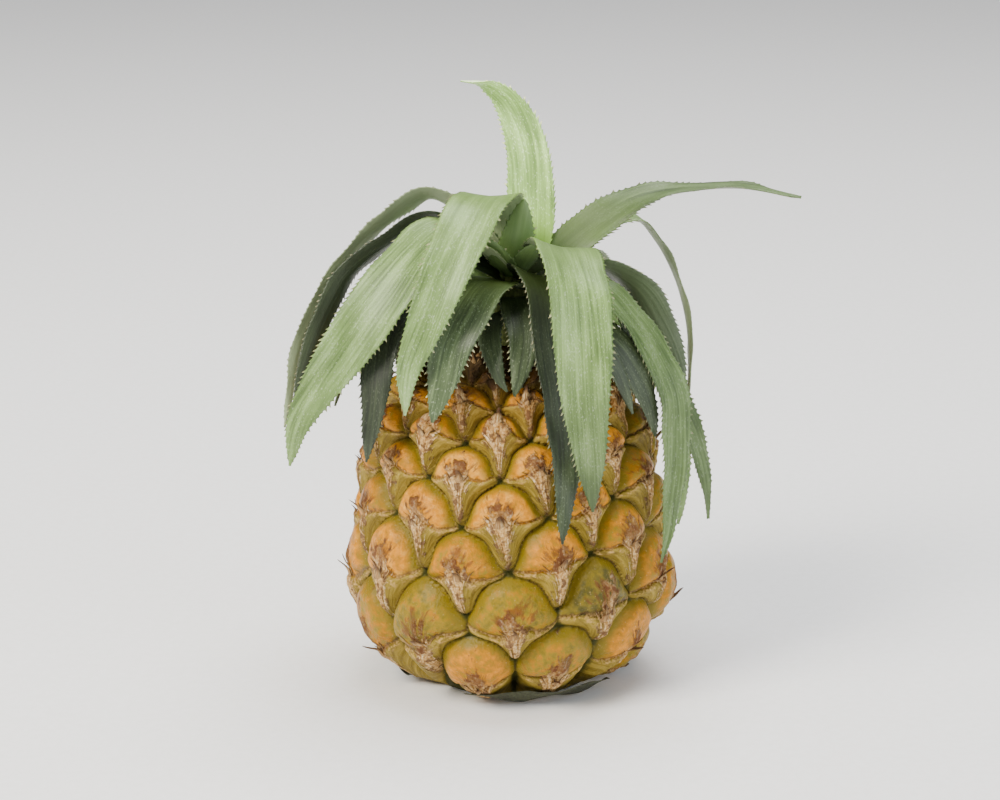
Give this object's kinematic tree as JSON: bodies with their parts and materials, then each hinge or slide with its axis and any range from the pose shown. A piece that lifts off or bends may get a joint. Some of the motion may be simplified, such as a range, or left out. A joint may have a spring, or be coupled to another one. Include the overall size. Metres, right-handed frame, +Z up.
{
  "type": "pineapple",
  "caption": "Small whole pineapple standing upright, with a spiral of spine-tipped fruitlets and an arching crown of saw-edged leaves.",
  "frame": {"origin": "centre of the flat base, on the cut end of the fruit's stem", "axes": "+Z up along the fruit's axis, -Y towards the side shown in the picture, +X to that side's right"},
  "size_m": [0.1579, 0.1079, 0.1855],
  "materials": {
    "rind": "waxy, bumpy fruit skin in orange and yellow-green with dry brown bract tips",
    "cut_stem": "dry, pale, fibrous cut",
    "crown_stem": "matt green fibrous stem",
    "heart_leaf": "smooth fresh green leaf",
    "pale_leaf": "grey-green ribbed leaf with a whitish bloom and pale spines",
    "dark_leaf": "dark slate-green ribbed leaf with grey scurf",
    "base_leaf": "short dark green leaf stub"
  },
  "bodies": {
    "root": {"fruit": "rind", "cut_stem": "cut_stem", "crown_stem": "crown_stem", "leaf_heart": "heart_leaf", "leaf_heart_left": "heart_leaf", "leaf_heart_right": "heart_leaf", "leaf_heart_back": "heart_leaf", "leaf_tall": "pale_leaf", "leaf_right_long": "pale_leaf", "leaf_front_wide": "pale_leaf", "leaf_left_fold": "pale_leaf", "leaf_left_wide": "pale_leaf", "leaf_left_outer": "pale_leaf", "leaf_left_dark": "dark_leaf", "leaf_front_behind": "dark_leaf", "leaf_front_left": "dark_leaf", "leaf_low_left": "dark_leaf", "leaf_front_small": "dark_leaf", "leaf_right_thin": "pale_leaf", "leaf_right_dark": "dark_leaf", "leaf_right_curved": "pale_leaf", "leaf_right_low": "pale_leaf", "leaf_right_lower": "pale_leaf", "leaf_right_inner": "dark_leaf", "leaf_right_short": "dark_leaf", "leaf_front_shaded": "dark_leaf", "leaf_left_inner": "dark_leaf", "leaf_back_arched": "pale_leaf", "leaf_back_right": "pale_leaf", "leaf_back_left": "pale_leaf", "leaf_back_left_side": "pale_leaf", "leaf_back_low": "dark_leaf", "leaf_back_low_right": "dark_leaf", "leaf_back_low_left": "dark_leaf", "leaf_left_low_side": "dark_leaf", "leaf_left_low_front": "dark_leaf", "base_leaf_front": "base_leaf", "base_leaf_left": "base_leaf", "base_leaf_back": "base_leaf", "base_leaf_right": "base_leaf"}
  },
  "joints": []
}
